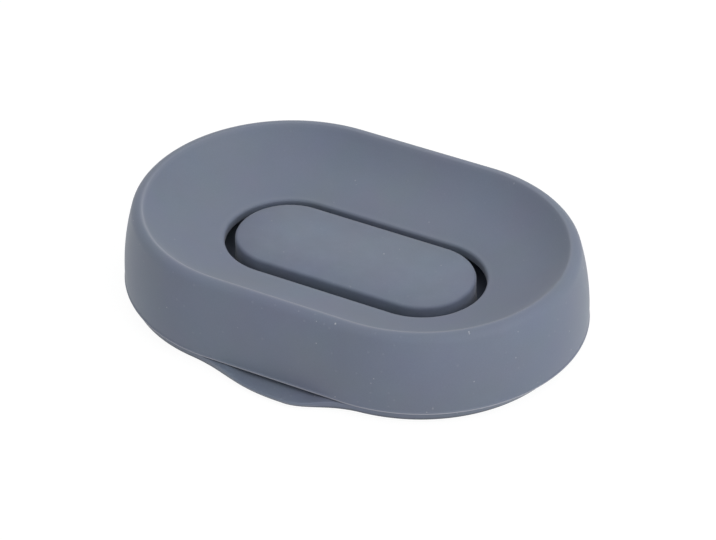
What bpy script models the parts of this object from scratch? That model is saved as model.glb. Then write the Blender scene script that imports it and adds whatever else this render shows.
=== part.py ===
"""A draining soap dish in two storeys, in metres, +Z up and the spout towards -Y.

The upper dish is a skirted shell with a dished bowl and a long drain opening. It rests on a drip
tray whose floor falls towards a pouring spout. A soap rest stands in the drain opening on the
tray's pedestal, and four pads under the tray keep it from sliding.

Every outline is a stadium: two straight sides and two round ends, all with the same straight
length, so a ring is given by its radius alone. Each moulding is a profile of radius and height
carried round such an outline.
"""

import math

import bmesh
import bpy

# The skirt's outline, where the upper dish stands on the tray
DISH_LENGTH = 0.136
DISH_WIDTH = 0.0934
STRAIGHT_LENGTH = 0.0426

# Upper dish
DISH_HEIGHT = 0.0234
WALL_LEAN = 0.00235
WALL_BULGE = 0.00075
WALL_THICKNESS = 0.0026
RIM_OUTER_RADIUS = 0.0030
RIM_INNER_RADIUS = 0.0008
BOWL_SLOPE_AT_RIM = 1.3
BOWL_POWER = 3
BOWL_THICKNESS = 0.0024
DRAIN_WIDTH = 0.0363
DRAIN_EDGE_HEIGHT = 0.0108
DRAIN_EDGE_RADIUS = 0.0010
COLLAR_DEPTH = 0.0022
COLLAR_THICKNESS = 0.0020
MOULD_LINE_RADIUS = 0.0002

# Soap rest
REST_HEIGHT = 0.0037
REST_EDGE_RADIUS = 0.0011
REST_ABOVE_DRAIN = 0.00075
TENON_LENGTH = 0.0027

# Drip tray
TRAY_EDGE_HEIGHT = 0.0025
TRAY_EDGE_SETBACK = 0.00055
TRAY_SIDE_TAPER = 0.0005
TRAY_END_TAPER = 0.0017
TRAY_EDGE_RADIUS = 0.0005
FLOOR_FALL = 0.016
RIB_HEIGHT = 0.0040
RIB_THICKNESS = 0.0016
RIB_DRAFT = 0.0003
SOCKET_WALL = 0.0029
PEDESTAL_DRAFT = 0.0003

# Spout, in the front side: its tip stands towards +X and its left flank is the longer one,
# as on the real dish
SPOUT_REACH = 0.0060
SPOUT_TIP = 0.0064
LEFT_FLANK = 0.0331
LEFT_BLUNTNESS = 1.34
RIGHT_FLANK = 0.0199
RIGHT_BLUNTNESS = 0.91
SPOUT_DROP = 0.0003
NOTCH_MIDDLE = 0.0015
NOTCH_HALF_WIDTH = 0.0165
NOTCH_RAMP = 0.0070

# Feet
FOOT_RADIUS = 0.0050
FOOT_STANDOFF = 0.0010
FOOT_BEVEL = 0.0004
FOOT_SPREAD_X = 0.041
FOOT_SPREAD_Y = 0.020
POCKET_DEPTH = 0.0011

# Gaps and clearances between the pieces
DRAIN_GAP = 0.00300
SPOUT_GAP = 0.0013
SEAT_GAP = 0.0003
RIB_CLEARANCE = 0.0004
SOCKET_CLEARANCE = 0.0003
POCKET_CLEARANCE = 0.0003

# How finely the outlines are cut
END_STEPS = 22
FRONT_STEPS = 26
WALL_STEPS = 5
RIM_STEPS = 8
BOWL_STEPS = 11
UNDERSIDE_STEPS = 5
INNER_WALL_STEPS = 3
ARC_STEPS = 4
FOOT_SIDES = 32

# Levels and radii that follow from the sizes, from the ground up
SKIRT_RADIUS = DISH_WIDTH / 2
END_CHANGE = (DISH_LENGTH - STRAIGHT_LENGTH) / 2 - SKIRT_RADIUS
TRAY_Z = FOOT_STANDOFF
EDGE_Z = TRAY_Z + TRAY_EDGE_HEIGHT
SKIRT_Z = EDGE_Z + SEAT_GAP
LIP_Z = SKIRT_Z - SPOUT_GAP
CREST_Z = SKIRT_Z + DISH_HEIGHT
WALL_TOP = DISH_HEIGHT - RIM_OUTER_RADIUS
DRAIN_RADIUS = DRAIN_WIDTH / 2
DRAIN_Z = SKIRT_Z + DRAIN_EDGE_HEIGHT
REST_RADIUS = DRAIN_RADIUS - DRAIN_GAP
REST_TOP_Z = DRAIN_Z + DRAIN_EDGE_RADIUS + REST_ABOVE_DRAIN
REST_SEAT_Z = REST_TOP_Z - REST_HEIGHT
PEDESTAL_Z = REST_SEAT_Z - SEAT_GAP
SOCKET_RADIUS = REST_RADIUS - SOCKET_WALL
TENON_RADIUS = SOCKET_RADIUS - SOCKET_CLEARANCE
TENON_Z = REST_SEAT_Z - TENON_LENGTH
SOCKET_Z = TENON_Z - SEAT_GAP
EDGE_RADIUS = SKIRT_RADIUS - TRAY_EDGE_SETBACK
MIDDLE_Y = (EDGE_RADIUS + SPOUT_REACH - SKIRT_RADIUS - MOULD_LINE_RADIUS) / 2


def clear_scene():
    """Removes whatever the scene holds."""
    for thing in list(bpy.data.objects):
        bpy.data.objects.remove(thing)


def finish(name, colour, roughness):
    """A plain moulded material."""
    material = bpy.data.materials.new(name)
    material.use_nodes = True
    shader = material.node_tree.nodes["Principled BSDF"]
    shader.inputs["Base Color"].default_value = (*colour, 1.0)
    shader.inputs["Roughness"].default_value = roughness
    shader.inputs["Metallic"].default_value = 0.0
    return material


def steps(first, last, count):
    """Evenly spaced values from first to last, both included."""
    return [first + (last - first) * k / count for k in range(count + 1)]


def arc(centre, height, radius, start, end, count=ARC_STEPS):
    """Profile points on an arc, its angles in degrees up from the outward direction."""
    angles = [math.radians(a) for a in steps(start, end, count)]
    return [(centre + radius * math.cos(a), height + radius * math.sin(a)) for a in angles]


def ease(t):
    """A smooth step from 0 to 1."""
    t = min(max(t, 0.0), 1.0)
    return t * t * (3 - 2 * t)


def stations(front_steps):
    """Places round the outline: the spine point and the outward direction of each.

    They start at the front side's left end and run anticlockwise seen from above.
    """
    half = STRAIGHT_LENGTH / 2
    places = [(x, 0.0, -1.0) for x in steps(-half, half, front_steps)[:-1]]
    right = [math.pi * (share - 0.5) for share in steps(0, 1, END_STEPS)]
    places += [(half, math.cos(angle), math.sin(angle)) for angle in right]
    places += [(-half, -math.cos(angle), -math.sin(angle)) for angle in right[:-1]]
    return places


def ring_point(place, radius, height):
    """The point at a radius outwards from one place of the outline."""
    spine, along, across = place
    return (spine + (radius + END_CHANGE) * along, radius * across, height)


def swept(name, places, profile_at, material, closed):
    """A solid whose profile, given at each place, is carried round the outline.

    An open profile starts and ends in a flat face across the outline, and a closed one makes a ring.
    """
    mesh = bmesh.new()
    rows = []
    for place in places:
        points = [ring_point(place, radius, height) for radius, height in profile_at(place)]
        rows.append([mesh.verts.new(point) for point in points])
    count = len(rows[0])
    spans = count if closed else count - 1
    for k, row in enumerate(rows):
        after = rows[(k + 1) % len(rows)]
        for j in range(spans):
            i = (j + 1) % count
            mesh.faces.new((row[j], row[i], after[i], after[j]))
    if not closed:
        mesh.faces.new([row[0] for row in rows])
        mesh.faces.new([row[-1] for row in reversed(rows)])
    bmesh.ops.recalc_face_normals(mesh, faces=mesh.faces)
    return solid(name, mesh, material)


def solid(name, mesh, material):
    """Puts a finished bmesh into the scene as one named object, shaded smooth but at its edges."""
    data = bpy.data.meshes.new(name)
    mesh.to_mesh(data)
    mesh.free()
    data.materials.append(material)
    data.shade_smooth()
    data.set_sharp_from_angle(angle=math.radians(35))
    made = bpy.data.objects.new(name, data)
    bpy.context.scene.collection.objects.link(made)
    return made


def wall_radius(height):
    """The outer wall's radius at a height above the skirt's edge: it leans in, and swells a little."""
    share = height / WALL_TOP
    return SKIRT_RADIUS - WALL_LEAN * share + 4 * WALL_BULGE * share * (1 - share)


def inner_wall_radius(height):
    """The inner wall's radius at a height above the skirt's edge."""
    return wall_radius(height) - WALL_THICKNESS


def rim_curve():
    """The crest's radius, the height at which the wall meets the rim's outer arc, and its lean there."""
    lean = math.atan((WALL_LEAN + 4 * WALL_BULGE) / WALL_TOP)
    meeting = WALL_TOP + RIM_OUTER_RADIUS * math.sin(lean)
    return wall_radius(meeting) - RIM_OUTER_RADIUS * math.cos(lean), meeting, math.degrees(lean)


def bowl_curve():
    """Where the bowl leaves the rim, where it meets the drain's edge, and its slope there.

    The bowl's slope grows from there to the rim as a power of the way between them, so the bowl's
    mean slope fixes it.
    """
    tilt = math.atan(BOWL_SLOPE_AT_RIM)
    outer = rim_curve()[0] - RIM_INNER_RADIUS * math.sin(tilt)
    top = CREST_Z - RIM_INNER_RADIUS * (1 - math.cos(tilt))
    inner = DRAIN_RADIUS + DRAIN_EDGE_RADIUS
    mean = (top - DRAIN_Z - DRAIN_EDGE_RADIUS) / (outer - inner)
    slope = (mean * (BOWL_POWER + 1) - BOWL_SLOPE_AT_RIM) / BOWL_POWER
    return outer, inner, slope


def bowl_height(radius):
    """The bowl's surface at a radius."""
    outer, inner, slope = bowl_curve()
    way = (radius - inner) / (outer - inner)
    bend = (BOWL_SLOPE_AT_RIM - slope) / (BOWL_POWER + 1)
    rise = slope * way + bend * way ** (BOWL_POWER + 1)
    return DRAIN_Z + DRAIN_EDGE_RADIUS + rise * (outer - inner)


def shell_profile():
    """The upper dish from the skirt's edge up the wall, over the rim, down the bowl and back beneath."""
    line = MOULD_LINE_RADIUS
    points = arc(SKIRT_RADIUS, SKIRT_Z + line, line, -90, 90)
    crest, meeting, lean = rim_curve()
    points += [(wall_radius(h), SKIRT_Z + h) for h in steps(2 * line, meeting, WALL_STEPS)[1:]]
    points += arc(crest, CREST_Z - RIM_OUTER_RADIUS, RIM_OUTER_RADIUS, lean, 90, RIM_STEPS)[1:]
    outer, inner, slope = bowl_curve()
    tilt = math.degrees(math.atan(BOWL_SLOPE_AT_RIM))
    points += arc(crest, CREST_Z - RIM_INNER_RADIUS, RIM_INNER_RADIUS, 90, 90 + tilt)[1:]
    points += [(r, bowl_height(r)) for r in steps(outer, inner, BOWL_STEPS)[1:-1]]
    dip = math.degrees(math.atan(slope))
    points += arc(inner, DRAIN_Z, DRAIN_EDGE_RADIUS, 90 + dip, 180)
    collar = DRAIN_RADIUS + COLLAR_THICKNESS
    points += [(r, DRAIN_Z - COLLAR_DEPTH) for r in (DRAIN_RADIUS, collar)]
    points += [(r, bowl_height(r) - BOWL_THICKNESS) for r in steps(collar, outer, UNDERSIDE_STEPS)]
    points += arc(crest, CREST_Z - RIM_OUTER_RADIUS, RIM_OUTER_RADIUS - WALL_THICKNESS, 90, lean)
    points += [(inner_wall_radius(h), SKIRT_Z + h) for h in steps(WALL_TOP, 0, INNER_WALL_STEPS)[1:]]
    return points


def rest_profile():
    """The soap rest from the middle of its top over the soft edge, down and in to its tenon."""
    top = arc(REST_RADIUS - REST_EDGE_RADIUS, REST_TOP_Z - REST_EDGE_RADIUS, REST_EDGE_RADIUS, 90, 0)
    below = [(REST_RADIUS, REST_SEAT_Z), (TENON_RADIUS, REST_SEAT_Z), (TENON_RADIUS, TENON_Z)]
    return top + below


def spout_share(x):
    """How far the tray's edge bulges at x, from 0 beside the spout to 1 at its tip."""
    flank, bluntness = (LEFT_FLANK, LEFT_BLUNTNESS) if x < SPOUT_TIP else (RIGHT_FLANK, RIGHT_BLUNTNESS)
    away = min(abs(x - SPOUT_TIP) / flank, 1.0)
    return (1 + math.cos(math.pi * away**bluntness)) / 2


def notch_share(x):
    """How far the rib and the tray's edge are cut down at x, from 0 to 1 in the spout."""
    return ease((NOTCH_HALF_WIDTH - abs(x - NOTCH_MIDDLE)) / NOTCH_RAMP)


def tray_profile(place):
    """The tray from its socket over the pedestal, the sloping floor, the rib and the edge to beneath.

    In the spout the edge reaches out, and rib and edge come down to the floor, which runs to the lip.
    """
    spine, along, across = place
    x = spine + EDGE_RADIUS * along
    front = across < 0
    reach = SPOUT_REACH * spout_share(x) if front else 0.0
    cut = notch_share(x) if front else 0.0
    rib_outer = inner_wall_radius(0) - RIB_CLEARANCE
    rib_inner = rib_outer - RIB_THICKNESS
    rib_z = EDGE_Z + RIB_HEIGHT
    rib_crown = inner_wall_radius(rib_z - SKIRT_Z) - RIB_CLEARANCE
    edge = EDGE_RADIUS + reach
    pedestal = REST_RADIUS + PEDESTAL_DRAFT

    def floor(radius):
        return LIP_Z + SPOUT_DROP + FLOOR_FALL * (radius * across + rib_inner)

    def lowered(radius, full):
        share = (radius - rib_inner) / (edge - rib_inner)
        return full + (floor(rib_inner) + (LIP_Z - floor(rib_inner)) * share - full) * cut

    taper = TRAY_SIDE_TAPER + (TRAY_END_TAPER - TRAY_SIDE_TAPER) * along**4
    foot = edge - taper - TRAY_EDGE_RADIUS
    return [
        (SOCKET_RADIUS, SOCKET_Z),
        (SOCKET_RADIUS, PEDESTAL_Z),
        (REST_RADIUS, PEDESTAL_Z),
        (pedestal, floor(pedestal)),
        (rib_inner, floor(rib_inner)),
        (rib_inner + RIB_DRAFT, lowered(rib_inner + RIB_DRAFT, rib_z)),
        (rib_crown, lowered(rib_crown, rib_z)),
        (rib_outer, lowered(rib_outer, EDGE_Z)),
        (edge, lowered(edge, EDGE_Z)),
        *arc(foot, TRAY_Z + TRAY_EDGE_RADIUS, TRAY_EDGE_RADIUS, 0, -90)[::2],
    ]


def disc(name, radius, bottom, top, material):
    """A round flat piece with its axis upright, its mesh at its own height."""
    mesh = bmesh.new()
    bmesh.ops.create_cone(
        mesh,
        cap_ends=True,
        segments=FOOT_SIDES,
        radius1=radius,
        radius2=radius,
        depth=top - bottom,
    )
    bmesh.ops.translate(mesh, vec=(0, 0, (bottom + top) / 2), verts=mesh.verts)
    return solid(name, mesh, material)


def foot(name, place, material):
    """One pad: a disc from the ground into its pocket, with soft edges."""
    pad = disc(name, FOOT_RADIUS, 0.0, TRAY_Z + POCKET_DEPTH - SEAT_GAP, material)
    pad.location = place
    soften = pad.modifiers.new("soft edge", "BEVEL")
    soften.width = FOOT_BEVEL
    soften.segments = 2
    return pad


def cut_pocket(tray, name, place, material):
    """Cuts the pocket for one pad into the tray's underside, and returns the cutter."""
    cutter = disc(name, FOOT_RADIUS + POCKET_CLEARANCE, 0.0, TRAY_Z + POCKET_DEPTH, material)
    cutter.location = place
    cutter.hide_render = True
    cutter.display_type = "WIRE"
    cut = tray.modifiers.new(name, "BOOLEAN")
    cut.operation = "DIFFERENCE"
    cut.solver = "EXACT"
    cut.object = cutter
    return cutter


def main():
    """Builds the dish round an empty that stands under the middle of the skirt."""
    clear_scene()
    middle = bpy.data.objects.new("dish_middle", None)
    middle.location = (0.0, MIDDLE_Y, 0.0)
    bpy.context.scene.collection.objects.link(middle)
    dish_finish = finish("dish_silicone", (0.184, 0.209, 0.266), 0.62)
    tray_finish = finish("tray_silicone", (0.176, 0.200, 0.256), 0.64)
    rest_finish = finish("rest_silicone", (0.190, 0.214, 0.270), 0.60)
    foot_finish = finish("foot_rubber", (0.035, 0.037, 0.042), 0.80)

    shell = shell_profile()
    dish = swept("upper_dish", stations(1), lambda place: shell, dish_finish, closed=True)
    tray = swept("drip_tray", stations(FRONT_STEPS), tray_profile, tray_finish, closed=False)
    plug = rest_profile()
    rest = swept("soap_rest", stations(1), lambda place: plug, rest_finish, closed=False)
    pieces = [dish, tray, rest]
    for row, y in (("front", -FOOT_SPREAD_Y), ("back", FOOT_SPREAD_Y)):
        for side, x in (("left", -FOOT_SPREAD_X), ("right", FOOT_SPREAD_X)):
            place = (x, y, 0.0)
            pieces.append(foot(f"foot_{row}_{side}", place, foot_finish))
            pieces.append(cut_pocket(tray, f"pocket_{row}_{side}", place, foot_finish))
    for piece in pieces:
        piece.parent = middle


main()
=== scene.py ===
"""The looks of a draining soap dish in two storeys, all of one slate grey, matte and soft silicone.

In metres, +Z up, the pouring spout towards -Y. Every outline is a stadium, two straight sides and two
round ends, and every moulding is a profile of radius and height carried round such an outline.
"""

import math

import bmesh
import bpy
import numpy as np
from mathutils import Matrix, Vector


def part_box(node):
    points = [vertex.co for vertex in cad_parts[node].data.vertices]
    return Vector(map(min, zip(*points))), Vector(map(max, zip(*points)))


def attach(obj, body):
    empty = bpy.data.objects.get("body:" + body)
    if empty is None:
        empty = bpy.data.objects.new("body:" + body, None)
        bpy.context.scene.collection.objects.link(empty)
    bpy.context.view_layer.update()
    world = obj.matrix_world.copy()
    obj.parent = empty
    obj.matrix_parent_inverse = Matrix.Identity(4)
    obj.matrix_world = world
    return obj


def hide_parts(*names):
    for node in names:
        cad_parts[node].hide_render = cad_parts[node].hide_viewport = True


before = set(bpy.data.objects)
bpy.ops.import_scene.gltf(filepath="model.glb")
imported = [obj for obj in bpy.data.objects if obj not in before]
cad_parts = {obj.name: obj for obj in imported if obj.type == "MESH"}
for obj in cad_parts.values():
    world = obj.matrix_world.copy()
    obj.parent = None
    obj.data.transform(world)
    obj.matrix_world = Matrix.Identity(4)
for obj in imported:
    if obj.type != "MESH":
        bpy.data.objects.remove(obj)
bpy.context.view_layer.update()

# The camera, fitted to the dish's outline in the photo, which is 716 pixels wide
CAMERA_AZIMUTH = 29.190
CAMERA_ELEVATION = 35.463
CAMERA_ROLL = -0.621
CAMERA_DISTANCE = 0.9145
CAMERA_TARGET_HEIGHT = 0.013
FOCAL_PIXELS = 3259.5
PHOTO_WIDTH = 716
SHIFT_RIGHT_PIXELS = 3.26
SHIFT_UP_PIXELS = -6.13

# Boxes of the solids, which the fine surfaces fill
DISH_LOW, DISH_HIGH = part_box("upper_dish")
REST_LOW, REST_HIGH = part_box("soap_rest")
TRAY_LOW, TRAY_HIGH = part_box("drip_tray")
FEET = [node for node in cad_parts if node.startswith("foot_")]

# Upper dish
MOULD_LINE_RADIUS = 0.0002
WALL_LEAN = 0.00235
WALL_BULGE = 0.00075
WALL_THICKNESS = 0.0026
RIM_OUTER_RADIUS = 0.0030
RIM_INNER_RADIUS = 0.0008
BOWL_SLOPE_AT_RIM = 1.3
BOWL_POWER = 3
BOWL_THICKNESS = 0.0024
DRAIN_WIDTH = 0.0363
DRAIN_EDGE_HEIGHT = 0.0108
DRAIN_EDGE_RADIUS = 0.0010
COLLAR_DEPTH = 0.0022
COLLAR_THICKNESS = 0.0020
SKIRT_EDGE_RADIUS = 0.0005
COLLAR_EDGE_RADIUS = 0.0009
UNDERSIDE_FILLET = 0.0012

# Soap rest
REST_HEIGHT = 0.0037
REST_EDGE_RADIUS = 0.0011
REST_CROWN = 0.00012
SEAT_EDGE_RADIUS = 0.00012
TENON_INSET = 0.0032

# Drip tray
TRAY_EDGE_HEIGHT = 0.0025
TRAY_EDGE_SETBACK = 0.00055
TRAY_SIDE_TAPER = 0.0005
TRAY_END_TAPER = 0.0017
TRAY_EDGE_RADIUS = 0.0005
LIP_RADIUS = 0.00035
FLOOR_FALL = 0.016
FLOOR_FILLET = 0.0010
RIB_HEIGHT = 0.0040
RIB_THICKNESS = 0.0016
RIB_DRAFT = 0.0003
RIB_CLEARANCE = 0.0004
RIB_EDGE_RADIUS = 0.00045
PEDESTAL_DRAFT = 0.0003
SOCKET_INSET = 0.0029
SOCKET_FLOOR_BELOW_SEAT = 0.0030

# Spout
SPOUT_TIP = 0.0064
LEFT_FLANK = 0.0331
LEFT_BLUNTNESS = 1.34
RIGHT_FLANK = 0.0199
RIGHT_BLUNTNESS = 0.91
SPOUT_LIP_RADIUS = 0.0009
SPOUT_GAP = 0.0013
SPOUT_DROP = 0.0003
NOTCH_MIDDLE = 0.0015
NOTCH_HALF_WIDTH = 0.0165
NOTCH_RAMP = 0.0070

# Feet
FOOT_EDGE_RADIUS = 0.0004

# Gap that stands for faces which touch, and how much of it the soap rest's surface closes
SEAT_GAP = 0.0003
SEAT_GAP_CLOSED = 0.000255

# The silicone's colours: as moulded; how much lighter the soap rest and the tray are painted, which is
# painted light for light they lack; the pale of rubbed edges and painted highlights; painted shadow; lint
SLATE = (0.164, 0.193, 0.259)
PAINTED_LIGHT_TONE = 1.04
WEAR_AND_HIGHLIGHT_COLOUR = (0.40, 0.41, 0.47, 1.0)
PAINTED_SHADE_COLOUR = (0.030, 0.036, 0.050, 1.0)
LINT_COLOUR = (0.46, 0.48, 0.52, 1.0)

# How far its red, green and blue drift apart, and how many patches a metre holds of that drift, of faint
# clouds and of the mould's blasted grain
HUE_DRIFT = 0.14
HUE_SCALE = 60
CLOUD_SCALE = 190
GRAIN_SCALE = 2600
PATCH_DETAIL = 3.0
GRAIN_DETAIL = 2.0
GRAIN_TONE = 0.12
GRAIN_HEIGHT = 0.00002
GRAIN_STRENGTH = 0.35
NOISE_MIDDLE = 0.5

# How high the soap rest's flat top is shaded as swollen
REST_PILLOW = 0.0024

# How much clouds, rubbing and dust change the roughness, and how many grains high a speck stands
CLOUD_ROUGHNESS = 0.12
RUBBED_SMOOTHNESS = 0.1
DUST_ROUGHNESS = 0.2
DUST_GRAINS = 2.0

# Fine dust, dust and lint, as cells per metre, a speck's size, the share of cells with one and its strength
FINE_DUST = (330, 0.00045, 0.6, 0.10)
DUST = (290, 0.00026, 0.40, 0.6)
LINT = (190, 0.00032, 0.32, 0.9)
LINT_TURN = (0.5, 0.9, 0.3)
LINT_STRETCH = (1, 1, 0.4)
SPECK_CORE = 0.4
CHOICE_BLUR = 0.01

# How much dust clings outside the rim's crest, in the bowl and on the soap rest
OUTSIDE_DUST = 1.0
BOWL_DUST = 0.35
ISLAND_DUST = 0.7

# Pale lines along the rim's shoulder, which is worn and carries a painted highlight, the drain's edge, the
# mould's flash, paler and partly a painted highlight, and the tray's side, a painted highlight, and a
# painted shadow at the tray's foot, as how far each reaches and how strong it is at most. The last two have
# a height above the tray's underside.
SHOULDER_REACH = 0.0005
SHOULDER_WEAR_AND_HIGHLIGHT = 0.14
SHOULDER_WEAR_AND_HIGHLIGHT_IN_FRONT = 0.50
DRAIN_EDGE_REACH = 0.0006
DRAIN_EDGE_PALE = 0.05
FLASH_REACH = 0.00016
FLASH_PALE_AND_HIGHLIGHT = 1.0
GLINT_HEIGHT = 0.00065
GLINT_REACH = 0.00025
GLINT_HIGHLIGHT = 0.35
CONTACT_HEIGHT = 0.0001
CONTACT_REACH = 0.0004
CONTACT_SHADE = 1.0

# The feet's rubber, dark and, in the brighter clouds, dusty
RUBBER_DARK = (0.030, 0.032, 0.036, 1.0)
RUBBER_DUSTY = (0.055, 0.058, 0.064, 1.0)
RUBBER_DUST_STARTS = 0.4
RUBBER_DUST_FULL = 0.75
RUBBER_ROUGHNESS = 0.72
RUBBER_CLOUD_ROUGHNESS = 0.2
RUBBER_GRAIN_SCALE = 3000
RUBBER_CLOUD_SCALE = 500
RUBBER_GRAIN_HEIGHT = 0.00003
RUBBER_GRAIN_STRENGTH = 0.5

# The floor's colour for the light that falls on it, and its glow for the camera
WHITE = (1.0, 1.0, 1.0, 1.0)
FLOOR_COLOUR = (0.80, 0.80, 0.80, 1.0)
FLOOR_HALF_WIDTH = 3.0
FLOOR_GLOW = 0.85
GLOW_STRENGTH = 1.1

# The world's light, and lamps as degrees to the right of the camera, elevation and power in watts
WORLD_LIGHT = 0.52
LAMP_DISTANCE = 1.2
LAMP_WIDTH = 1.0
LAMPS = {
    "high_right": (45, 55, 1.9),
    "right": (60, 33, 2.3),
    "low_right": (65, 15, 1.5),
    "above": (20, 80, 0.35),
    "behind": (170, 55, 2.0),
    "low_front": (25, 12, 2.4),
}

# How finely the surfaces are cut
SIDE_STEPS = 48
END_STEPS = 140
FOOT_STEPS = 96
ARC_STEPS = 8
CURVE_STEPS = 32
ROW_SPACING = 0.0011
MERGE_DISTANCE = 1e-6

# A soft corner takes at most this share of either run beside it
MOST_CUT = 0.48

# Levels and radii that follow
MIDDLE_Y = (DISH_LOW.y + DISH_HIGH.y) / 2
HALF_STRAIGHT = (DISH_HIGH.x - DISH_LOW.x - DISH_HIGH.y + DISH_LOW.y) / 2
SKIRT_RADIUS = (DISH_HIGH.y - DISH_LOW.y) / 2 - MOULD_LINE_RADIUS
SKIRT_Z = DISH_LOW.z
CREST_Z = DISH_HIGH.z
WALL_TOP = CREST_Z - SKIRT_Z - RIM_OUTER_RADIUS
DRAIN_RADIUS = DRAIN_WIDTH / 2
DRAIN_Z = SKIRT_Z + DRAIN_EDGE_HEIGHT
REST_RADIUS = (REST_HIGH.y - REST_LOW.y) / 2
REST_TOP_Z = REST_HIGH.z
REST_SEAT_Z = REST_TOP_Z - REST_HEIGHT
PEDESTAL_Z = REST_SEAT_Z - SEAT_GAP
TRAY_Z = TRAY_LOW.z
EDGE_Z = TRAY_Z + TRAY_EDGE_HEIGHT
EDGE_RADIUS = SKIRT_RADIUS - TRAY_EDGE_SETBACK
SPOUT_REACH = MIDDLE_Y - TRAY_LOW.y - EDGE_RADIUS
LIP_Z = SKIRT_Z - SPOUT_GAP
CREST_RADIUS = SKIRT_RADIUS - WALL_LEAN - RIM_OUTER_RADIUS


def arc(centre, height, radius, start, end):
    """Corners on an arc round a point, its angles in degrees up from the outward direction."""
    angles = np.radians(np.linspace(start, end, ARC_STEPS + 1))
    return [(centre + radius * math.cos(a), height + radius * math.sin(a), 0.0) for a in angles]


def curve(first, last, shape):
    """Corners along a curve, where shape gives (radius, height) for values from first to last."""
    return [(*shape(value), 0.0) for value in np.linspace(first, last, CURVE_STEPS + 1)]


def eased(corners):
    """A profile through (radius, height, softness) corners, as an array of rows by places by 2.

    A soft corner is cut off where a circle of its softness would touch, which is the softness over the
    tangent of half the corner's angle away from it, and a parabola joins the two cuts. Runs between
    the corners are straight, and their rows crowd towards both ends as a cosine does.
    """
    radius, height, softness = zip(*corners)
    parts = np.broadcast_arrays(*radius, *height, *softness)
    radius, height, softness = np.stack(parts).reshape(3, len(corners), -1)
    points = np.stack([radius, height], -1)
    back = points[:-2] - points[1:-1]
    ahead = points[2:] - points[1:-1]
    back_length = np.linalg.norm(back, axis=2, keepdims=True)
    ahead_length = np.linalg.norm(ahead, axis=2, keepdims=True)
    back /= back_length
    ahead /= ahead_length
    half_angle = np.arccos(np.clip((back * ahead).sum(2, keepdims=True), -1, 1)) / 2
    wanted = softness[1:-1, :, None] / np.tan(half_angle)
    cut = np.minimum(wanted, MOST_CUT * np.minimum(back_length, ahead_length))
    starts = [points[0], *(points[1:-1] + back * cut), points[-1]]
    ends = [points[0], *(points[1:-1] + ahead * cut), points[-1]]
    rows = [points[0]]
    for k in range(1, len(corners)):
        length = np.linalg.norm(starts[k] - ends[k - 1], axis=1).max()
        count = max(1, round(length / ROW_SPACING))
        share = (1 - np.cos(np.pi * np.arange(1, count + 1) / count)) / 2
        rows += [ends[k - 1] + (starts[k] - ends[k - 1]) * s for s in share]
        if softness[k].any():
            for s in np.linspace(0, 1, ARC_STEPS + 1)[1:]:
                rows.append((1 - s) ** 2 * starts[k] + 2 * s * (1 - s) * points[k] + s**2 * ends[k])
    return np.stack(rows)


def stadium():
    """Places round the stadium, anticlockwise from above: the spine point's x, and how far the outward
    direction points along x and across it. The sides step along the spine, the ends turn about its ends."""
    side = np.linspace(-HALF_STRAIGHT, HALF_STRAIGHT, SIDE_STEPS, endpoint=False)
    turn = np.radians(np.linspace(-90, 90, END_STEPS, endpoint=False))
    half = np.full(END_STEPS, HALF_STRAIGHT)
    spine = np.concatenate([side, half, -side, -half])
    along = np.concatenate([0 * side, np.cos(turn), 0 * side, -np.cos(turn)])
    across = np.concatenate([0 * side - 1, np.sin(turn), 0 * side + 1, -np.sin(turn)])
    return spine, along, across


def ring(count):
    """Places round a circle, as those round a stadium without straight sides."""
    turn = np.linspace(0, 2 * np.pi, count, endpoint=False)
    return 0 * turn, np.cos(turn), np.sin(turn)


def carried(name, profile, places, centre, pale, painted_shade, closed):
    """The surface of a profile carried round an outline, its faces pointing out.

    A point is the outline's spine point, plus its outward direction times the profile's radius, at the
    profile's height. The attribute pale is highest on the given lines of the profile: edges that hands and
    soap rub, among them the rim's shoulder, which also carries a painted highlight, the mould's thin flash,
    paler and partly a painted highlight, and a painted highlight along the tray's side. A second attribute
    is highest on the lines of painted shadow. The attribute dusty says how much lint clings, which is most
    outside the rim's crest. The attribute swell falls from 1 on the spine to 0 at the soap rest's radius,
    with the square of the way there.
    """
    spine, along, across = places
    radius = profile[..., 0]
    height = profile[..., 1] + 0 * spine
    points = np.stack([centre.x + spine + radius * along, centre.y + radius * across, height], -1)
    rows, count = points.shape[:2]
    row = np.arange(rows if closed else rows - 1)[:, None]
    column = np.arange(count)[None, :]
    row_next = (row + 1) % rows
    column_next = (column + 1) % count
    corners = [row * count + column, row * count + column_next]
    corners += [row_next * count + column_next, row_next * count + column]
    faces = np.stack(corners, -1).reshape(-1, 4)
    mesh = bpy.data.meshes.new(name)
    mesh.from_pydata(points.reshape(-1, 3), [], faces)

    def near(lines):
        """The most that any line gives a point, which fades as a bell curve of the distance from it."""
        share = np.zeros((rows, count))
        for line_radius, line_height, reach, most in lines:
            away = np.hypot(radius - line_radius, height - line_height) + 0 * spine
            share = np.maximum(share, most * np.exp(-((away / reach) ** 2)))
        return share

    where = [radius > CREST_RADIUS, radius < REST_RADIUS]
    attributes = {
        "pale": near(pale),
        "painted_shade": near(painted_shade),
        "dusty": np.select(where, [OUTSIDE_DUST, ISLAND_DUST], BOWL_DUST) + 0 * spine,
        "swell": 1 - np.minimum(radius / REST_RADIUS, 1) ** 2 + 0 * spine,
    }
    for kind, values in attributes.items():
        mesh.attributes.new(kind, "FLOAT", "POINT").data.foreach_set("value", values.ravel())
    sewn = bmesh.new()
    sewn.from_mesh(mesh)
    bmesh.ops.remove_doubles(sewn, verts=sewn.verts, dist=MERGE_DISTANCE)
    sewn.to_mesh(mesh)
    sewn.free()
    mesh.shade_smooth()
    piece = bpy.data.objects.new(name, mesh)
    bpy.context.scene.collection.objects.link(piece)
    return piece


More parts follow.
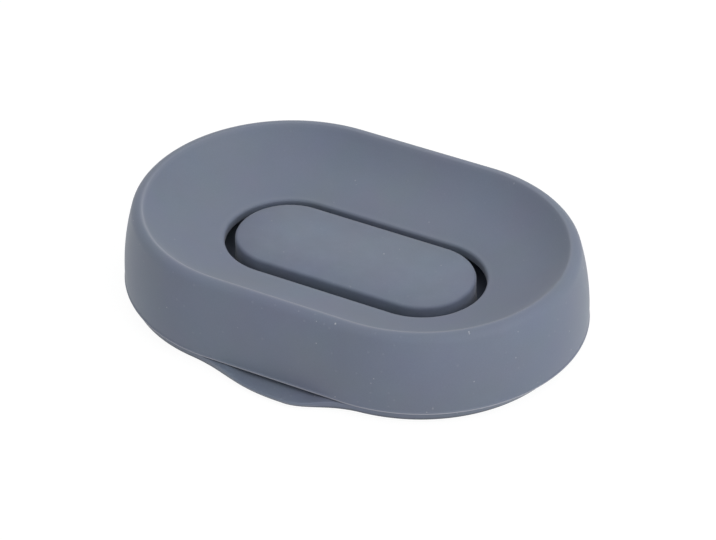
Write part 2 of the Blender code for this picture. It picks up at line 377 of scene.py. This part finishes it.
def wall_radius(height):
    """The outer wall above the skirt's edge: it leans in evenly, and swells as a parabola between."""
    share = height / WALL_TOP
    return SKIRT_RADIUS - WALL_LEAN * share + 4 * WALL_BULGE * share * (1 - share)


def inner_wall_radius(height):
    """The inner wall, one wall's thickness inside the outer one."""
    return wall_radius(height) - WALL_THICKNESS


def upper_dish_profile():
    """The upper dish from the mould line up the wall, over the rim, down the bowl and back beneath.

    The rim is two arcs that share the crest and touch the wall and the bowl. The bowl's slope grows
    from the drain's rounded edge to the rim as a power of the way between them, so the bowl's mean
    slope fixes it at the drain's edge. The places of the rim's shoulder and of the drain's edge are given
    with the profile.
    """
    lean = math.atan((WALL_LEAN + 4 * WALL_BULGE) / WALL_TOP)
    wall_end = WALL_TOP + RIM_OUTER_RADIUS * math.sin(lean)
    crest = wall_radius(wall_end) - RIM_OUTER_RADIUS * math.cos(lean)
    tilt = math.atan(BOWL_SLOPE_AT_RIM)
    outer = crest - RIM_INNER_RADIUS * math.sin(tilt)
    top = CREST_Z - RIM_INNER_RADIUS * (1 - math.cos(tilt))
    inner = DRAIN_RADIUS + DRAIN_EDGE_RADIUS
    width = outer - inner
    mean = (top - DRAIN_Z - DRAIN_EDGE_RADIUS) / width
    slope = (mean * (BOWL_POWER + 1) - BOWL_SLOPE_AT_RIM) / BOWL_POWER

    def bowl(radius):
        way = (radius - inner) / width
        bend = (BOWL_SLOPE_AT_RIM - slope) / (BOWL_POWER + 1)
        rise = slope * way + bend * way ** (BOWL_POWER + 1)
        return radius, DRAIN_Z + DRAIN_EDGE_RADIUS + rise * width

    def underside(radius):
        return radius, bowl(radius)[1] - BOWL_THICKNESS

    collar = DRAIN_RADIUS + COLLAR_THICKNESS
    collar_z = DRAIN_Z - COLLAR_DEPTH
    line = MOULD_LINE_RADIUS
    corners = arc(SKIRT_RADIUS, SKIRT_Z + line, line, -90, 90)
    corners += curve(2 * line, wall_end, lambda h: (wall_radius(h), SKIRT_Z + h))[1:]
    corners += arc(crest, CREST_Z - RIM_OUTER_RADIUS, RIM_OUTER_RADIUS, math.degrees(lean), 90)[1:]
    corners += arc(crest, CREST_Z - RIM_INNER_RADIUS, RIM_INNER_RADIUS, 90, 90 + math.degrees(tilt))[1:]
    corners += curve(outer, inner, bowl)[1:]
    corners += arc(inner, DRAIN_Z, DRAIN_EDGE_RADIUS, 90 + math.degrees(math.atan(slope)), 180)[1:]
    corners += [(DRAIN_RADIUS, collar_z, COLLAR_EDGE_RADIUS), (collar, collar_z, COLLAR_EDGE_RADIUS)]
    corners += [(*underside(collar), UNDERSIDE_FILLET)]
    corners += curve(collar + UNDERSIDE_FILLET, outer, underside)
    inner_rim = RIM_OUTER_RADIUS - WALL_THICKNESS
    corners += arc(crest, CREST_Z - RIM_OUTER_RADIUS, inner_rim, 90, math.degrees(lean))
    low = 2 * SKIRT_EDGE_RADIUS
    corners += curve(WALL_TOP, low, lambda h: (inner_wall_radius(h), SKIRT_Z + h))[1:]
    corners += [(inner_wall_radius(0), SKIRT_Z, SKIRT_EDGE_RADIUS), (SKIRT_RADIUS - line, SKIRT_Z, 0.0)]
    return eased(corners), (crest - RIM_INNER_RADIUS / 2, CREST_Z), (inner, DRAIN_Z + DRAIN_EDGE_RADIUS)


def soap_rest_profile():
    """The soap rest from under its tenon out, up its side, over the soft edge and in along its crown.

    The crown falls from the spine with the square of the way out.
    """
    tenon = REST_RADIUS - TENON_INSET
    corners = [(0.0, REST_LOW.z, 0.0), (tenon, REST_LOW.z, RIB_EDGE_RADIUS)]
    seat_z = REST_SEAT_Z - SEAT_GAP_CLOSED
    corners += [(tenon, seat_z, LIP_RADIUS), (REST_RADIUS, seat_z, SEAT_EDGE_RADIUS)]
    corners += [(REST_RADIUS, REST_TOP_Z - REST_CROWN, REST_EDGE_RADIUS)]

    def crown(radius):
        return radius, REST_TOP_Z - REST_CROWN * (radius / REST_RADIUS) ** 2

    return eased(corners + curve(REST_RADIUS - 2 * REST_EDGE_RADIUS, 0.0, crown))


def drip_tray_profile(places):
    """The tray from beneath out to its edge, over the rib, along the sloping floor and up the pedestal.

    The floor is a plane that falls towards the spout. In the spout the edge reaches out as a raised
    cosine of the distance from its middle, and the rib and the edge come down to the floor. The places of
    the painted highlight along the side and of the painted shadow at the foot are given with the profile.
    """
    spine, along, across = places
    x = spine + EDGE_RADIUS * along
    front = across < 0
    left = x < SPOUT_TIP
    away = np.minimum(np.abs(x - SPOUT_TIP) / np.where(left, LEFT_FLANK, RIGHT_FLANK), 1.0)
    turned = np.pi * away ** np.where(left, LEFT_BLUNTNESS, RIGHT_BLUNTNESS)
    reach = SPOUT_REACH * front * (1 + np.cos(turned)) / 2
    ramp = np.clip((NOTCH_HALF_WIDTH - np.abs(x - NOTCH_MIDDLE)) / NOTCH_RAMP, 0, 1)
    cut = front * ramp**2 * (3 - 2 * ramp)
    rib_outer = inner_wall_radius(0) - RIB_CLEARANCE
    rib_inner = rib_outer - RIB_THICKNESS
    rib_z = EDGE_Z + RIB_HEIGHT
    rib_crown = inner_wall_radius(rib_z - SKIRT_Z) - RIB_CLEARANCE
    rib_crown += (rib_outer - RIB_DRAFT - rib_crown) * cut
    edge = EDGE_RADIUS + reach
    pedestal = REST_RADIUS + PEDESTAL_DRAFT
    socket = REST_RADIUS - SOCKET_INSET
    socket_z = REST_SEAT_Z - SOCKET_FLOOR_BELOW_SEAT

    def floor(radius):
        return LIP_Z + SPOUT_DROP + FLOOR_FALL * (radius * across + rib_inner)

    def lowered(radius, full):
        share = (radius - rib_inner) / (edge - rib_inner)
        return full + (floor(rib_inner) + (LIP_Z - floor(rib_inner)) * share - full) * cut

    taper = TRAY_SIDE_TAPER + (TRAY_END_TAPER - TRAY_SIDE_TAPER) * along**4
    foot = edge - taper * TRAY_EDGE_HEIGHT / (TRAY_EDGE_HEIGHT - TRAY_EDGE_RADIUS)
    corners = [
        (0.0, TRAY_Z, 0.0),
        (foot, TRAY_Z, TRAY_EDGE_RADIUS),
        (edge, lowered(edge, EDGE_Z), LIP_RADIUS + (SPOUT_LIP_RADIUS - LIP_RADIUS) * cut),
        (rib_outer, lowered(rib_outer, EDGE_Z), LIP_RADIUS),
        (rib_crown, lowered(rib_crown, rib_z), RIB_EDGE_RADIUS),
        (rib_inner + RIB_DRAFT, lowered(rib_inner + RIB_DRAFT, rib_z), RIB_EDGE_RADIUS),
        (rib_inner, floor(rib_inner), FLOOR_FILLET),
        (pedestal, floor(pedestal), FLOOR_FILLET),
        (REST_RADIUS, PEDESTAL_Z, SEAT_EDGE_RADIUS),
        (socket, PEDESTAL_Z, LIP_RADIUS),
        (socket, socket_z, LIP_RADIUS),
        (0.0, socket_z, 0.0),
    ]
    glint = (foot + (edge - foot) * GLINT_HEIGHT / TRAY_EDGE_HEIGHT, TRAY_Z + GLINT_HEIGHT)
    contact = (foot, TRAY_Z + CONTACT_HEIGHT)
    return eased(corners), glint, contact


def foot_profile(node):
    """A pad from the middle of its face out, up its side and back in, with soft edges."""
    low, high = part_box(node)
    radius = (high.x - low.x) / 2
    corners = [(0.0, low.z, 0.0), (radius, low.z, FOOT_EDGE_RADIUS), (radius, high.z, FOOT_EDGE_RADIUS)]
    return eased(corners + [(0.0, high.z, 0.0)])


class Value:
    """One output of a node. Sums, differences and products of it add the Math nodes they need."""

    def __init__(self, nodes, socket):
        self.nodes = nodes
        self.socket = socket

    def maths(self, operation, first, second):
        return self.nodes.add("Math", {"operation": operation}, {0: first, 1: second})

    def __add__(self, other):
        return self.maths("ADD", self, other)

    def __sub__(self, other):
        return self.maths("SUBTRACT", self, other)

    def __mul__(self, other):
        return self.maths("MULTIPLY", self, other)

    __radd__ = __add__
    __rmul__ = __mul__


class Nodes:
    """The nodes of one material or world, added one by one with their settings and inputs."""

    def __init__(self, owner):
        owner.use_nodes = True
        self.tree = owner.node_tree
        self.tree.nodes.clear()

    def add(self, kind, settings=None, inputs=None, output=0):
        """Adds a node, its settings first, then its inputs as values or links, and gives an output of it."""
        node = self.tree.nodes.new("ShaderNode" + kind)
        for name, setting in (settings or {}).items():
            setattr(node, name, setting)
        for name, given in (inputs or {}).items():
            if isinstance(given, Value):
                self.tree.links.new(given.socket, node.inputs[name])
            else:
                node.inputs[name].default_value = given
        return Value(self, node.outputs[output]) if node.outputs else None

    def attribute(self, name):
        """A number that the mesh carries at each of its points."""
        return self.add("Attribute", {"attribute_name": name}, output="Fac")

    def noise(self, place, scale, detail, output=0):
        """Soft noise from 0 to 1 with about one bump per 1/scale metres, as a value or as a colour."""
        return self.add("TexNoise", None, {"Vector": place, "Scale": scale, "Detail": detail}, output)

    def step(self, value, low, high):
        """A smooth step from 0 at low to 1 at high."""
        inputs = {"Value": value, "From Min": low, "From Max": high}
        return self.add("MapRange", {"interpolation_type": "SMOOTHSTEP"}, inputs)

    def mix(self, share, first, second):
        """One colour turning into another as share goes from 0 to 1."""
        return self.add("Mix", {"data_type": "RGBA"}, {0: share, 6: first, 7: second}, output=2)

    def scaled(self, colour, factor):
        """A colour times a number."""
        return self.add("VectorMath", {"operation": "SCALE"}, {"Vector": colour, "Scale": factor})

    def specks(self, place, scale, size, share, strength):
        """Round specks of a size in metres, in a share of the cells that are 1/scale wide."""
        cells = {"Vector": place, "Scale": scale}
        distance = self.add("TexVoronoi", None, cells, output="Distance")
        colour = self.add("TexVoronoi", None, cells, output="Color")
        chosen = self.add("SeparateColor", None, {"Color": colour}, output="Red")
        speck = self.step(distance, size * scale, SPECK_CORE * size * scale)
        return speck * self.step(chosen, 1 - share, 1 - share + CHOICE_BLUR) * strength


def silicone(name, colour, roughness, cloudiness, pillow=0.0):
    """Moulded matte silicone.

    Its hue drifts a little and it is faintly cloudy. Rubbed edges and the mould's flash are paler, and
    painted highlights lie along the rim's shoulder, the flash and the tray's side. A painted shadow darkens
    the tray's foot, and pale dust and lint cling to it. The bump is the mould's fine blasted grain. With
    a pillow, a second bump under it lets the top look swollen by that height in its middle.
    """
    material = bpy.data.materials.new(name)
    nodes = Nodes(material)
    place = nodes.add("TexCoord", output="Object")
    hue = nodes.noise(place, HUE_SCALE, PATCH_DETAIL, output="Color")
    cloud = nodes.noise(place, CLOUD_SCALE, PATCH_DETAIL)
    grain = nodes.noise(place, GRAIN_SCALE, GRAIN_DETAIL)
    pale = nodes.attribute("pale")
    turned = {"Vector": place, "Rotation": LINT_TURN, "Scale": LINT_STRETCH}
    stretched = nodes.add("Mapping", None, turned)
    dust = nodes.specks(place, *FINE_DUST) + nodes.specks(place, *DUST) + nodes.specks(stretched, *LINT)
    dust = dust * nodes.attribute("dusty")
    drift = {0: hue, 1: [HUE_DRIFT] * 3, 2: [1 - HUE_DRIFT / 2] * 3}
    tint = nodes.add("VectorMath", {"operation": "MULTIPLY_ADD"}, drift)
    body = nodes.add("VectorMath", {"operation": "MULTIPLY"}, {0: tint, 1: colour})
    clouded = cloud - NOISE_MIDDLE
    tone = 1 + clouded * cloudiness + (grain - NOISE_MIDDLE) * GRAIN_TONE
    toned = nodes.scaled(body, tone)
    # Pale wear and painted highlights, then painted shadow, then lint, over the body's colour
    worn_and_highlit = nodes.mix(pale, toned, WEAR_AND_HIGHLIGHT_COLOUR)
    painted_shade = nodes.mix(nodes.attribute("painted_shade"), worn_and_highlit, PAINTED_SHADE_COLOUR)
    linty = nodes.mix(dust, painted_shade, LINT_COLOUR)
    matte = roughness + clouded * CLOUD_ROUGHNESS - pale * RUBBED_SMOOTHNESS + dust * DUST_ROUGHNESS
    height = grain + dust * DUST_GRAINS
    relief = {"Strength": GRAIN_STRENGTH, "Distance": GRAIN_HEIGHT, "Height": height}
    if pillow:
        swollen = {"Strength": 1.0, "Distance": pillow, "Height": nodes.attribute("swell")}
        relief["Normal"] = nodes.add("Bump", None, swollen)
    inputs = {
        "Base Color": linty,
        "Roughness": matte,
        "Normal": nodes.add("Bump", None, relief),
        "IOR": 1.41,
        "Sheen Weight": 0.20,
        "Sheen Roughness": 0.45,
    }
    nodes.add("OutputMaterial", None, {"Surface": nodes.add("BsdfPrincipled", None, inputs)})
    return material


def foot_rubber(name):
    """Dark soft rubber with a fine grain, greyer where it has picked up dust."""
    material = bpy.data.materials.new(name)
    nodes = Nodes(material)
    place = nodes.add("TexCoord", output="Object")
    grain = nodes.noise(place, RUBBER_GRAIN_SCALE, GRAIN_DETAIL)
    cloud = nodes.noise(place, RUBBER_CLOUD_SCALE, PATCH_DETAIL)
    relief = {"Strength": RUBBER_GRAIN_STRENGTH, "Distance": RUBBER_GRAIN_HEIGHT, "Height": grain}
    dusty = nodes.step(cloud, RUBBER_DUST_STARTS, RUBBER_DUST_FULL)
    inputs = {
        "Base Color": nodes.mix(dusty, RUBBER_DARK, RUBBER_DUSTY),
        "Roughness": RUBBER_ROUGHNESS + (cloud - NOISE_MIDDLE) * RUBBER_CLOUD_ROUGHNESS,
        "Normal": nodes.add("Bump", None, relief),
    }
    nodes.add("OutputMaterial", None, {"Surface": nodes.add("BsdfPrincipled", None, inputs)})
    return material


def dress(piece, body, node, material):
    """Puts a finished surface in the place of its solid."""
    piece.data.materials.append(material)
    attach(piece, body)
    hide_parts(node)


def seen_directly(nodes):
    """1 for what the camera sees, also in a reflection or through something clear, and 0 for light."""
    camera = nodes.add("LightPath", output="Is Camera Ray")
    glossy = nodes.add("LightPath", output="Is Glossy Ray")
    through = nodes.add("LightPath", output="Is Transmission Ray")
    return nodes.add("Clamp", None, {"Value": camera + glossy + through})


def white_floor():
    """A pale floor that goes white for the camera and in reflections and keeps a soft shadow."""
    half = FLOOR_HALF_WIDTH
    mesh = bpy.data.meshes.new("floor")
    corners = [(-half, -half, 0.0), (half, -half, 0.0), (half, half, 0.0), (-half, half, 0.0)]
    mesh.from_pydata(corners, [], [(0, 1, 2, 3)])
    floor = bpy.data.objects.new("floor", mesh)
    bpy.context.scene.collection.objects.link(floor)
    material = bpy.data.materials.new("white_floor")
    nodes = Nodes(material)
    plain = nodes.add("BsdfDiffuse", None, {"Color": FLOOR_COLOUR})
    glow = nodes.add("Emission", None, {"Color": WHITE, "Strength": GLOW_STRENGTH})
    seen = seen_directly(nodes)
    blend = nodes.add("MixShader", None, {0: seen * FLOOR_GLOW, 1: plain, 2: glow})
    nodes.add("OutputMaterial", None, {"Surface": blend})
    mesh.materials.append(material)


def white_surroundings():
    """A world that looks white to the camera and in reflections, and lights the dish evenly."""
    world = bpy.data.worlds.new("surroundings")
    bpy.context.scene.world = world
    nodes = Nodes(world)
    strength = WORLD_LIGHT + seen_directly(nodes) * (1 - WORLD_LIGHT)
    sky = nodes.add("Background", None, {"Color": WHITE, "Strength": strength})
    nodes.add("OutputWorld", None, {"Surface": sky})


def toward(azimuth, elevation):
    """The direction from the dish at an azimuth from -Y towards +X and an elevation, in degrees."""
    a = math.radians(azimuth)
    e = math.radians(elevation)
    return Vector((math.sin(a) * math.cos(e), -math.cos(a) * math.cos(e), math.sin(e)))


def soft_lamps():
    """Large square lamps round the dish, all turned to it."""
    target = Vector((0.0, MIDDLE_Y, CAMERA_TARGET_HEIGHT))
    for name, (turn, elevation, power) in LAMPS.items():
        light = bpy.data.lights.new(name, "AREA")
        light.size = LAMP_WIDTH
        light.energy = power
        lamp = bpy.data.objects.new(name, light)
        away = toward(CAMERA_AZIMUTH + turn, elevation)
        lamp.location = target + away * LAMP_DISTANCE
        lamp.rotation_euler = away.to_track_quat("Z", "Y").to_euler()
        bpy.context.scene.collection.objects.link(lamp)


def photo_camera():
    """The camera at the photo's viewing angle, with a long lens and a shift of a few pixels."""
    data = bpy.data.cameras.new("photo_camera")
    data.sensor_width = 36.0
    data.lens = FOCAL_PIXELS / PHOTO_WIDTH * data.sensor_width
    data.shift_x = SHIFT_RIGHT_PIXELS / PHOTO_WIDTH
    data.shift_y = SHIFT_UP_PIXELS / PHOTO_WIDTH
    camera = bpy.data.objects.new("photo_camera", data)
    away = toward(CAMERA_AZIMUTH, CAMERA_ELEVATION)
    turn = Matrix.Rotation(math.radians(CAMERA_AZIMUTH), 4, "Z")
    tip = Matrix.Rotation(math.radians(90 - CAMERA_ELEVATION), 4, "X")
    roll = Matrix.Rotation(math.radians(CAMERA_ROLL), 4, "Z")
    target = Vector((0.0, MIDDLE_Y, CAMERA_TARGET_HEIGHT))
    camera.matrix_world = Matrix.Translation(target + away * CAMERA_DISTANCE) @ turn @ tip @ roll
    bpy.context.scene.collection.objects.link(camera)
    bpy.context.scene.camera = camera


def dish():
    """Dresses the dish's seven pieces."""
    # A lighter copy of the slate for the soap rest and the tray, painted light for light they lack
    lit_slate = tuple(PAINTED_LIGHT_TONE * channel for channel in SLATE)
    middle = Vector((0.0, MIDDLE_Y, 0.0))
    places = stadium()
    profile, shoulder, drain = upper_dish_profile()
    # The mould's flash is painted paler, partly a painted highlight along the skirt's edge
    flash = (SKIRT_RADIUS + MOULD_LINE_RADIUS, SKIRT_Z + MOULD_LINE_RADIUS)
    # The rim's shoulder is paler where worn and carries a painted highlight, strongest in front
    shoulder_wear_and_highlight = SHOULDER_WEAR_AND_HIGHLIGHT + (SHOULDER_WEAR_AND_HIGHLIGHT_IN_FRONT - SHOULDER_WEAR_AND_HIGHLIGHT) * np.maximum(-places[2], 0)
    pale = [
        (*shoulder, SHOULDER_REACH, shoulder_wear_and_highlight),
        (*drain, DRAIN_EDGE_REACH, DRAIN_EDGE_PALE),
        (*flash, FLASH_REACH, FLASH_PALE_AND_HIGHLIGHT),
    ]
    bowl = carried("draining_bowl", profile, places, middle, pale, [], closed=True)
    bowl_silicone = silicone("bowl_silicone", SLATE, roughness=0.56, cloudiness=0.07)
    dress(bowl, "dish", "upper_dish", bowl_silicone)

    island = carried("soap_island", soap_rest_profile(), places, middle, [], [], closed=False)
    island_silicone = silicone(
        "island_silicone", lit_slate, roughness=0.54, cloudiness=0.20, pillow=REST_PILLOW
    )
    dress(island, "base", "soap_rest", island_silicone)

    profile, glint, contact = drip_tray_profile(places)
    # A painted highlight along the tray's side
    pale = [(*glint, GLINT_REACH, GLINT_HIGHLIGHT)]
    # A painted shadow at the tray's foot
    painted_shade = [(*contact, CONTACT_REACH, CONTACT_SHADE)]
    tray = carried("pouring_tray", profile, places, middle, pale, painted_shade, closed=False)
    tray_silicone = silicone("pouring_tray_silicone", lit_slate, roughness=0.58, cloudiness=0.07)
    dress(tray, "base", "drip_tray", tray_silicone)

    rubber = foot_rubber("pad_rubber")
    for node in FEET:
        low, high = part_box(node)
        centre = (low + high) / 2
        name = node.replace("foot", "pad")
        pad = carried(name, foot_profile(node), ring(FOOT_STEPS), centre, [], [], closed=False)
        dress(pad, "base", node, rubber)


bpy.context.scene.view_settings.view_transform = "Standard"
photo_camera()
soft_lamps()
white_floor()
white_surroundings()
dish()
